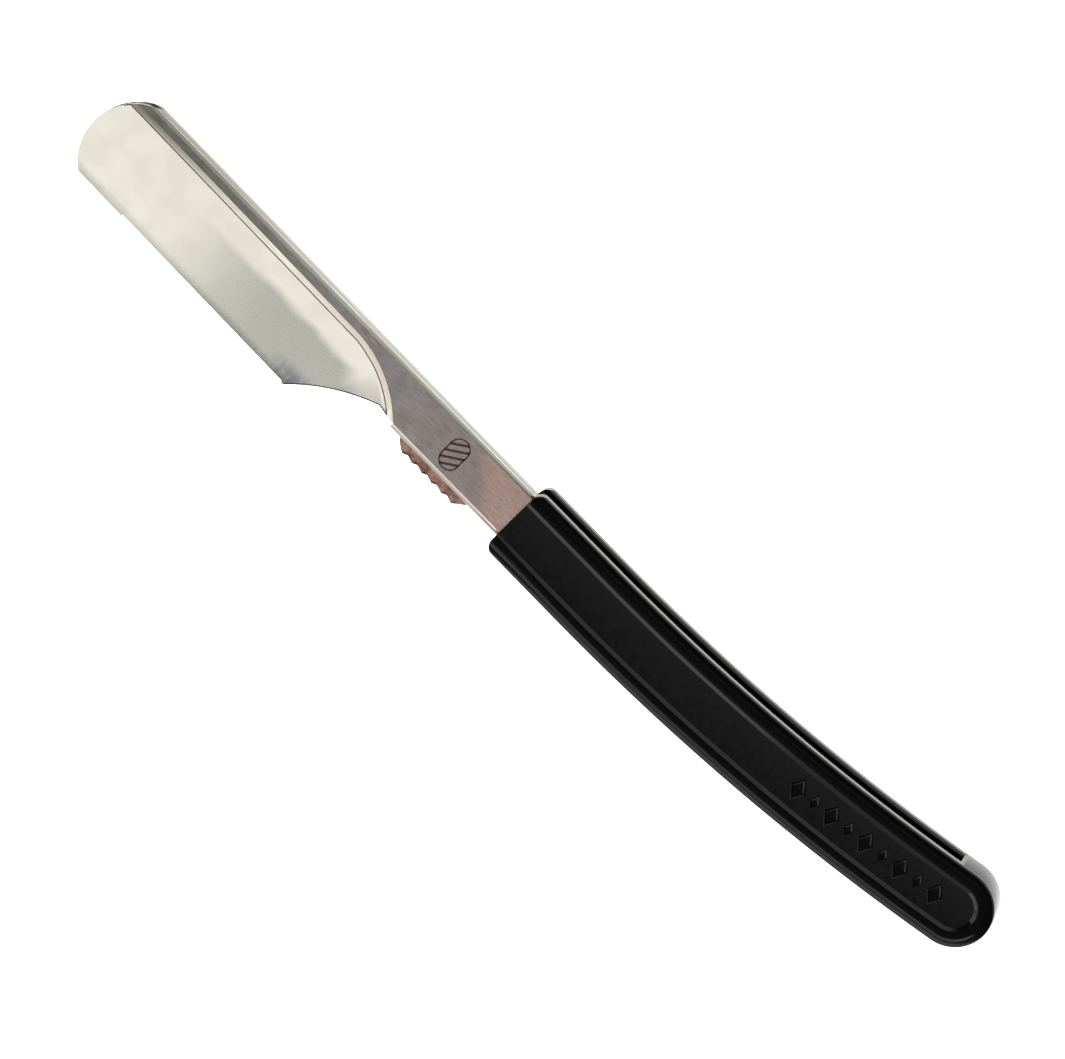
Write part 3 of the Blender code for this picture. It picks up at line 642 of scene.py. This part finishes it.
# The pressed step and the folds are burnished by the tool and smoother; their lighter colour is a painted
# highlight
burnished_and_highlight_steel, tree, shader = new_finish("burnished_steel_painted_highlight")
drawn = mottle(tree, millimetres(tree), 0.2, stretch=(0.04, 1.0, 1.0))
tone = add_node(tree, "ShaderNodeMix", {0: drawn, 6: linear("C9C2B4"), 7: linear("ADA79B")}, data_type="RGBA")
streaked(tree, shader, tone, drawn, 0.20, 0.30)

# The long folds along the spine and the lips: drawn steel whose darker grey is a painted shade, keeping them
# grey against the bright table they mirror
folds_shaded_steel, tree, shader = new_finish("folded_steel_painted_shade")
place = millimetres(tree)
x = add_node(tree, "ShaderNodeSeparateXYZ", {0: place}).outputs["X"]
drawn = mottle(tree, place, 0.15, stretch=(0.02, 1.0, 1.0))
tone = tinted(tree, linear("85837A"), "A19F96", x, -112.0, -60.0)
tone = tinted(tree, tone, "77756C", drawn, 0.3, 0.7, strength=0.35)
streaked(tree, shader, tone, drawn, 0.14, 0.24)

# The cut edge of the sheet, left dark by the blanking tool and darkened further as painted shade; the same
# steel paints the shade in the step's crease and along the heel, and covers the grip's tooth chamfers and
# flanks
edge_and_shade_steel, tree, shader = new_finish("sheet_edge_and_painted_shade")
streaks = mottle(tree, millimetres(tree), 0.15, stretch=(1.0, 1.0, 0.2))
tone = add_node(tree, "ShaderNodeMix", {0: streaks, 6: linear("2C2A28"), 7: linear("4E4B48")},
                data_type="RGBA")
streaked(tree, shader, tone, streaks, 0.35, 0.5)

CREASE_WIDTH = 0.26
sheet = break_edges(copy_of("blade_cover"), 0.07)
for side in (1, -1):
    cheeks = [f for f in sheet.faces
              if f.normal.z * side > 0.995 and CHEEK_INSIDE < f.calc_center_median().z * side < CHEEK_LEVEL]
    border = bmesh.ops.inset_region(sheet, faces=cheeks, thickness=CREASE_WIDTH, depth=-0.03,
                                    use_even_offset=True)
    # the border beside the step and along the heel takes the dark edge steel: painted shade in the crease and
    # a painted dark line along the heel; elsewhere the border stays satin
    for face in border["faces"]:
        middle = face.calc_center_median()
        by_step = middle.y > STEP_Y or (middle.x > TANG_X and middle.y > LIP_Y + 0.1)
        by_heel = middle.x > HEEL_CORNER_X + 0.3 and not by_step
        face.material_index = 3 if by_step or by_heel else 1
cover = settle(sheet, "blade_cover_sheet", [rolled, satin, burnished_and_highlight_steel, edge_and_shade_steel, folds_shaded_steel])
for face in cover.data.polygons:
    middle = (face.center - PIVOT) / MM
    outward = face.normal.z * math.copysign(1.0, middle.z)
    if face.material_index > 0:
        continue
    if outward > 0.995 and CHEEK_INSIDE < abs(middle.z) < CHEEK_LEVEL:
        face.material_index = 1
    # the step: burnished steel, its lighter colour a painted highlight
    elif 0.9 < outward < 0.995 and middle.y < SPINE_Y and middle.x < STEP_END_X:
        face.material_index = 2
    # cut edges below the step, the heel's among them: dark edge steel, partly painted shade
    elif abs(face.normal.z) < 0.5 and middle.x < RECESS_END_X and middle.y < STEP_Y:
        face.material_index = 3
    # the folds: the darker steel of the painted shade
    elif abs(face.normal.z) < 0.99 and (middle.y > SPINE_Y or middle.y < LIP_Y) and face.normal.x ** 2 < 0.1:
        face.material_index = 4
crease(cover)
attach(cover, "cover")
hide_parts("blade_cover")

# A laser mark on both sides of the tang: an upright capsule with slanted stripes
MARK_X = -22.9
MARK_Y = 3.4
MARK_HALF = (2.5, 4.1)
MARK_LINE = 0.34
MARK_HEIGHT = 0.02
MARK_ROOT = 0.01                # how far it reaches into the tang
STRIPES = 4
STRIPE_WIDTH = 0.55
STRIPE_PITCH = 1.9
STRIPE_SLANT = math.radians(35)
# Oxide that a laser burnt into the steel: dull and dark brown, with a fine speckle
etched, tree, shader = new_finish("laser_etched_oxide")
speckle = mottle(tree, millimetres(tree), 0.12)
tone = add_node(tree, "ShaderNodeMix", {0: speckle, 6: linear("2E1712"), 7: linear("543A33")},
                data_type="RGBA")
streaked(tree, shader, tone, speckle, 0.45, 0.65, metallic=0.4)


def capsule(half_width, half_height, low, high):
    """An upright prism with round ends about the mark's middle, from one height to another."""
    bm = bmesh.new()
    reach = half_height - half_width
    outline = arc((MARK_X, MARK_Y + reach), half_width, 0, math.pi, 16)
    outline += arc((MARK_X, MARK_Y - reach), half_width, math.pi, 2 * math.pi, 16)
    edges = ring_of(bm, [(px, py, low) for px, py in outline])
    face = bm.faces.new([edge.verts[0] for edge in edges])
    top = bmesh.ops.extrude_face_region(bm, geom=[face])["geom"]
    bmesh.ops.translate(bm, verts=only_verts(top), vec=(0, 0, high - low))
    bmesh.ops.recalc_face_normals(bm, faces=bm.faces)
    return bm


for side, word in ((1, "top"), (-1, "under")):
    level = side * HALF_TANG
    low, high = sorted((level - side * MARK_ROOT, level + side * MARK_HEIGHT))
    mark = settle(capsule(*MARK_HALF, low, high), "tang_mark_" + word, [etched])
    hole = settle(capsule(MARK_HALF[0] - MARK_LINE, MARK_HALF[1] - MARK_LINE, low - 1, high + 1), "hole")
    carve(mark, hole)
    bars = bmesh.new()
    for i in range(STRIPES):
        bar = bmesh.ops.create_cube(bars, size=1.0)["verts"]
        bmesh.ops.scale(bars, vec=(9.0, STRIPE_WIDTH, high - low), verts=bar)
        bmesh.ops.rotate(bars, verts=bar, cent=(0, 0, 0), matrix=Matrix.Rotation(STRIPE_SLANT, 3, "Z"))
        rise = (i - (STRIPES - 1) / 2) * STRIPE_PITCH
        bmesh.ops.translate(bars, verts=bar, vec=(MARK_X, MARK_Y + rise, (low + high) / 2))
    stripes = settle(bars, "tang_stripes_" + word, [etched])
    clip = settle(capsule(MARK_HALF[0] - 0.05, MARK_HALF[1] - 0.05, low - 1, high + 1), "clip")
    carve(stripes, clip, "INTERSECT")
    for piece in (mark, stripes):
        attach(piece, "cover")


# ---------------------------------------------------------------- thumb grip
# A toothed steel bar, milled and riveted to the carrier; the thumb presses on its teeth.

TOOTH_ROOT = -3.2               # everything below this belongs to the teeth
TOOTH_PITCH = 3.0
# the gullets' near-black is painted shade
FIRST_GULLET = -26.1            # slanted distance half a pitch ahead of a blackened gullet
TOOTH_SLANT = (1.0, -1.2, 0.0)
TOOTH_CHAMFER = 0.24
# Milled steel, browned by heat and handling, with painted shade in the gullets between the teeth
grip_steel, tree, shader = new_finish("milled_grip_steel")
place = millimetres(tree)
slanted = add_node(tree, "ShaderNodeVectorMath", {0: place, 1: TOOTH_SLANT}, operation="DOT_PRODUCT")
counted = add_node(tree, "ShaderNodeMath", {0: slanted, 1: FIRST_GULLET}, operation="SUBTRACT")
from_tooth = add_node(tree, "ShaderNodeMath", {0: counted, 1: TOOTH_PITCH / 2}, operation="PINGPONG")
# painted shade in each gullet, below the teeth's root line
gullet_shade = add_node(tree, "ShaderNodeMapRange", {0: from_tooth, 1: 0.26 * TOOTH_PITCH, 2: 0.36 * TOOTH_PITCH},
                  interpolation_type="SMOOTHSTEP")
gullet_shade = add_node(tree, "ShaderNodeMath", {0: gullet_shade, 1: zone(tree, place, ACROSS, -4.3, -4.6)},
                  operation="MULTIPLY")
tone = tinted(tree, linear("BE9384"), "86665C", mottle(tree, place, 1.4), 0.35, 0.7)
tone = add_node(tree, "ShaderNodeMix", {0: gullet_shade, 6: tone, 7: linear("1E1613")}, data_type="RGBA")
milled = mottle(tree, place, 0.15, stretch=(0.08, 1.0, 1.0))
streaked(tree, shader, tone, milled, 0.22, 0.36, relief=0.15)

toothed = copy_of("grip_bar")
tooth_rims = [e for e in toothed.edges if max(v.co.y for v in e.verts) < TOOTH_ROOT
              and abs(e.verts[0].co.z - e.verts[1].co.z) < 0.01]
bmesh.ops.bevel(toothed, geom=tooth_rims, offset=TOOTH_CHAMFER, segments=1, profile=0.5, affect="EDGES",
                clamp_overlap=False, material=-1)
bar = settle(toothed, "thumb_grip", [grip_steel, edge_and_shade_steel])
for face in bar.data.polygons:
    tooth_chamfer = face.normal.y < -0.3 and 0.3 < abs(face.normal.z) < 0.95 and abs(face.normal.x) > 0.1
    face.material_index = 1 if tooth_chamfer or abs(face.normal.x) > 0.25 else 0
crease(bar)
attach(bar, "arm")
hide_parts("grip_bar")

for name in ("grip_rivet_front", "grip_rivet_rear"):
    rivet = settle(break_edges(copy_of(name), 0.12, 40), name.replace("grip_", ""), [burnished_and_highlight_steel])
    shade(rivet, 40)
    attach(rivet, "arm")
    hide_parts(name)


# ---------------------------------------------------------------- blade carrier
# A flat stainless strip, blanked and deburred, that lies inside the cover and carries the blade.

# Cold-rolled strip: even and bright, with fine lines along it and faint smudges
strip_steel, tree, shader = new_finish("cold_rolled_strip")
place = millimetres(tree)
drawn = mottle(tree, place, 0.12, stretch=(0.03, 1.0, 1.0))
tone = tinted(tree, linear("C4C2BD"), "B9B6B1", mottle(tree, place, 7.0), 0.3, 0.7)
streaked(tree, shader, tone, drawn, 0.24, 0.38, relief=0.1)

for name, width in (("blade_carrier", 0.06), ("blade_post_front", 0.1), ("blade_post_rear", 0.1)):
    piece = settle(break_edges(copy_of(name), width), name + "_steel", [strip_steel])
    crease(piece)
    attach(piece, "arm")
    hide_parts(name)


# ---------------------------------------------------------------- half blade
# Half of a double-edge blade, 0.1 mm carbon steel strip, ground on both sides of its edge.

GRIND_WIDTH = 0.8
EDGE_LEFT = 0.12                # what the grinding leaves of the thickness, as a share
# Hardened strip: blue-grey and smooth, with lines along it
blade_steel, tree, shader = new_finish("hardened_blade_strip")
drawn = mottle(tree, millimetres(tree), 0.08, stretch=(0.02, 1.0, 1.0))
tone = add_node(tree, "ShaderNodeMix", {0: drawn, 6: linear("9EA3A9"), 7: linear("C3C7CB")}, data_type="RGBA")
streaked(tree, shader, tone, drawn, 0.14, 0.24)
# The ground edge: nearly white, with the wheel's strokes across it
ground_steel, tree, shader = new_finish("ground_blade_edge")
strokes = mottle(tree, millimetres(tree), 0.06, stretch=(1.0, 0.05, 1.0))
tone = add_node(tree, "ShaderNodeMix", {0: strokes, 6: linear("D5D8DB"), 7: linear("F2F3F4")},
                data_type="RGBA")
streaked(tree, shader, tone, strokes, 0.18, 0.30)

half = copy_of("half_blade")
edge_y = min(v.co.y for v in half.verts)
middle_z = sum(v.co.z for v in half.verts) / len(half.verts)
bmesh.ops.bisect_plane(half, geom=half.verts[:] + half.edges[:] + half.faces[:], dist=0.0001,
                       plane_co=(0, edge_y + GRIND_WIDTH, 0), plane_no=(0, 1, 0))
for vert in half.verts:
    if vert.co.y < edge_y + 0.05:
        vert.co.z = middle_z + (vert.co.z - middle_z) * EDGE_LEFT
blade = settle(half, "half_blade_steel", [blade_steel, ground_steel])
for face in blade.data.polygons:
    face.material_index = 1 if (face.center.y - PIVOT.y) / MM < edge_y + GRIND_WIDTH - 0.05 else 0
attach(blade, "arm")
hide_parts("half_blade")


# ---------------------------------------------------------------- pivot
# A turned pin snapped into blind sockets of the handle, with steel spacers on the carrier and a
# brass shim on each side.

# Turned metal shows the lathe's rings about the pin; they are drawn 0.12 mm apart, coarser than real
LATHE_RINGS = 0.12
for slot_name, colours, nodes in (
    ("pin_steel", ("B9B6B0", "8D8A85"), ("pivot_pin", "carrier_spacer_upper", "carrier_spacer_lower")),
    ("brass_shim", ("D9B36A", "B0883F"), ("pivot_washer_upper", "pivot_washer_lower")),
):
    turned, tree, shader = new_finish("turned_" + slot_name)
    place = millimetres(tree)
    flat = add_node(tree, "ShaderNodeVectorMath", {0: place, 1: (1.0, 1.0, 0.0)}, operation="MULTIPLY")
    radius = add_node(tree, "ShaderNodeVectorMath", {0: flat}, operation="LENGTH")
    turns = add_node(tree, "ShaderNodeMath", {0: radius, 1: 2 * math.pi / LATHE_RINGS}, operation="MULTIPLY")
    rings = add_node(tree, "ShaderNodeMath", {0: turns}, operation="SINE")
    feed(tree, shader, {
        "Metallic": 1.0,
        "Base Color": tinted(tree, linear(colours[0]), colours[1], mottle(tree, place, 0.8), 0.35, 0.7),
        "Roughness": add_node(tree, "ShaderNodeMapRange", {0: rings, 1: -1.0, 2: 1.0, 3: 0.22, 4: 0.34},
                              interpolation_type="SMOOTHSTEP"),
        "Normal": add_node(tree, "ShaderNodeBump", {"Height": rings, "Strength": 0.1, "Distance": 0.01 * MM}),
    })
    for name in nodes:
        piece = settle(break_edges(copy_of(name), 0.05, 40), name + "_turned", [turned])
        crease(piece, 40)
        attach(piece, "arm" if "spacer" in name else "handle")
        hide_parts(name)
